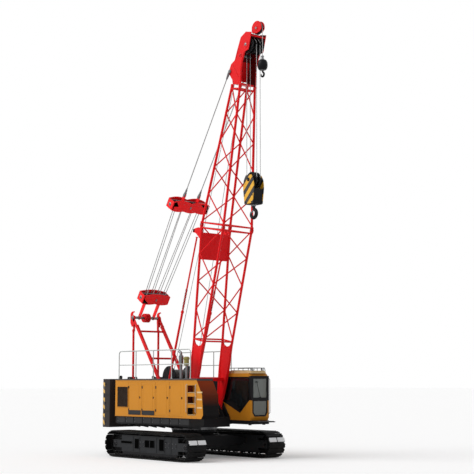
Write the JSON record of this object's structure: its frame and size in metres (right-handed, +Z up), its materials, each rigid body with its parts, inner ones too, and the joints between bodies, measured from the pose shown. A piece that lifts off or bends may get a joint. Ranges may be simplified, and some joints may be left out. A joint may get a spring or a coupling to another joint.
{
  "type": "lattice boom crawler crane",
  "caption": "Tracked crane with a slewing upper, enclosed cab, luffing lattice boom held by pendants, hoist block and auxiliary ball, and opening service doors.",
  "frame": {"origin": "on the ground under the slewing axis, midway between the tracks", "axes": "+X forward along the tracks and boom, +Y to the operator's left, +Z up"},
  "size_m": [7.9353, 4.28, 15.2309],
  "materials": {
    "track_steel": "worn steel",
    "carbody_paint": "satin",
    "running_steel": "worn",
    "frame_paint": "satin",
    "winch_steel": "matt",
    "deck_paint": "satin",
    "weight_paint": "satin",
    "house_paint": "gloss",
    "roof_paint": "matt",
    "engine_paint": "matt",
    "rail_steel": "satin",
    "cab_paint": "gloss",
    "glass": "tinted",
    "seat_fabric": "woven",
    "console_plastic": "matt",
    "boom_red": "gloss",
    "sheave_steel": "worn",
    "wire_rope": "greased wire",
    "block_paint": "gloss",
    "hook_steel": "forged"
  },
  "bodies": {
    "undercarriage": {"carbody": "carbody_paint", "slew_ring": "running_steel", "track_frame_left": "carbody_paint", "track_frame_right": "carbody_paint", "track_left": "track_steel", "track_right": "track_steel", "idlers": "running_steel", "sprockets": "running_steel", "rollers": "running_steel"},
    "upper": {"slew_frame": "frame_paint", "foot_pins": "running_steel", "winch_drums": "winch_steel", "side_decks": "deck_paint", "counterweight": "weight_paint", "house_right": "house_paint", "house_left": "house_paint", "roof_plates": "roof_paint", "engine_block": "engine_paint", "handrails": "rail_steel", "cab_shell": "cab_paint", "cab_glass": "glass", "cab_deck": "frame_paint", "cab_seat": "seat_fabric", "cab_console": "console_plastic", "gantry_legs": "boom_red", "gantry_struts": "boom_red", "gantry_head": "boom_red", "backstops": "boom_red"},
    "boom": {"boom_base": "boom_red", "boom_base_braces": "boom_red", "boom_top": "boom_red", "boom_top_braces": "boom_red", "boom_head": "boom_red", "head_sheaves": "sheave_steel", "tip_extension": "boom_red"},
    "luffing_line": {"lower_spreader": "boom_red", "luffing_falls": "wire_rope"},
    "bridle": {"upper_spreader": "boom_red", "pendants": "wire_rope"},
    "main_line": {"main_falls": "wire_rope"},
    "main_hook_block": {"hook_block": "block_paint", "main_hook": "hook_steel"},
    "aux_line": {"aux_fall": "wire_rope"},
    "aux_hook_block": {"aux_ball": "hook_steel"},
    "cab_door": {"cab_door": "cab_paint", "cab_door_glass": "glass"},
    "right_door_1": {"right_door_1": "house_paint"},
    "right_door_2": {"right_door_2": "house_paint"},
    "right_door_3": {"right_door_3": "house_paint"},
    "right_door_4": {"right_door_4": "house_paint"},
    "left_door_1": {"left_door_1": "house_paint"},
    "left_door_2": {"left_door_2": "house_paint"},
    "left_door_3": {"left_door_3": "house_paint"}
  },
  "joints": [
    {"name": "slew", "type": "hinge", "parent": "undercarriage", "child": "upper", "pos_m": [0, 0, 1.09], "axis": [0, 0, 1], "continuous": true},
    {"name": "boom_luff", "type": "hinge", "parent": "upper", "child": "boom", "pos_m": [0.66, 0, 1.74], "axis": [0, 1, 0], "range_deg": [0, 49.2]},
    {"name": "luffing_line_swing", "type": "hinge", "parent": "upper", "child": "luffing_line", "pos_m": [-3.05, 0, 5.11], "axis": [0, 1, 0], "range_deg": [0, 44.71]},
    {"name": "bridle_pay_out", "type": "slide", "parent": "luffing_line", "child": "bridle", "axis": [0.5466, 0, 0.8374], "range_m": [0, 4.0661], "deforming": ["luffing_falls"]},
    {"name": "main_line_swing", "type": "hinge", "parent": "boom", "child": "main_line", "pos_m": [3.35966, 0, 14.40853], "axis": [0, 1, 0], "range_deg": [-49.21, 0]},
    {"name": "main_hoist", "type": "slide", "parent": "main_line", "child": "main_hook_block", "axis": [0, 0, 1], "range_m": [-1.6, 2.8], "deforming": ["main_falls"]},
    {"name": "aux_line_swing", "type": "hinge", "parent": "boom", "child": "aux_line", "pos_m": [3.62327, 0, 14.97924], "axis": [0, 1, 0], "range_deg": [-49.21, 0]},
    {"name": "aux_hoist", "type": "slide", "parent": "aux_line", "child": "aux_hook_block", "axis": [0, 0, 1], "range_m": [-5.9, 0.5], "deforming": ["aux_fall"]},
    {"name": "cab_door_hinge", "type": "hinge", "parent": "upper", "child": "cab_door", "pos_m": [1.183, 1.6, 2.1], "axis": [0, 0, 1], "range_deg": [0, 100]},
    {"name": "right_door_hinge_1", "type": "hinge", "parent": "upper", "child": "right_door_1", "pos_m": [-2.077, -1.44, 2.08], "axis": [0, 0, -1], "range_deg": [0, 95]},
    {"name": "right_door_hinge_2", "type": "hinge", "parent": "upper", "child": "right_door_2", "pos_m": [-1.227, -1.44, 2.08], "axis": [0, 0, -1], "range_deg": [0, 95]},
    {"name": "right_door_hinge_3", "type": "hinge", "parent": "upper", "child": "right_door_3", "pos_m": [-0.377, -1.44, 2.08], "axis": [0, 0, -1], "range_deg": [0, 95]},
    {"name": "right_door_hinge_4", "type": "hinge", "parent": "upper", "child": "right_door_4", "pos_m": [0.473, -1.44, 2.08], "axis": [0, 0, -1], "range_deg": [0, 95]},
    {"name": "left_door_hinge_1", "type": "hinge", "parent": "upper", "child": "left_door_1", "pos_m": [-2.777, 1.44, 2.08], "axis": [0, 0, 1], "range_deg": [0, 95]},
    {"name": "left_door_hinge_2", "type": "hinge", "parent": "upper", "child": "left_door_2", "pos_m": [-1.927, 1.44, 2.08], "axis": [0, 0, 1], "range_deg": [0, 95]},
    {"name": "left_door_hinge_3", "type": "hinge", "parent": "upper", "child": "left_door_3", "pos_m": [-1.077, 1.44, 2.08], "axis": [0, 0, 1], "range_deg": [0, 95]}
  ],
  "couplings": [
    {"joint": "luffing_line_swing", "follows": "boom_luff", "ratio": 0.90861},
    {"joint": "bridle_pay_out", "follows": "boom_luff", "m_per_rad": 4.734},
    {"joint": "main_line_swing", "follows": "boom_luff", "ratio": -1},
    {"joint": "aux_line_swing", "follows": "boom_luff", "ratio": -1}
  ]
}
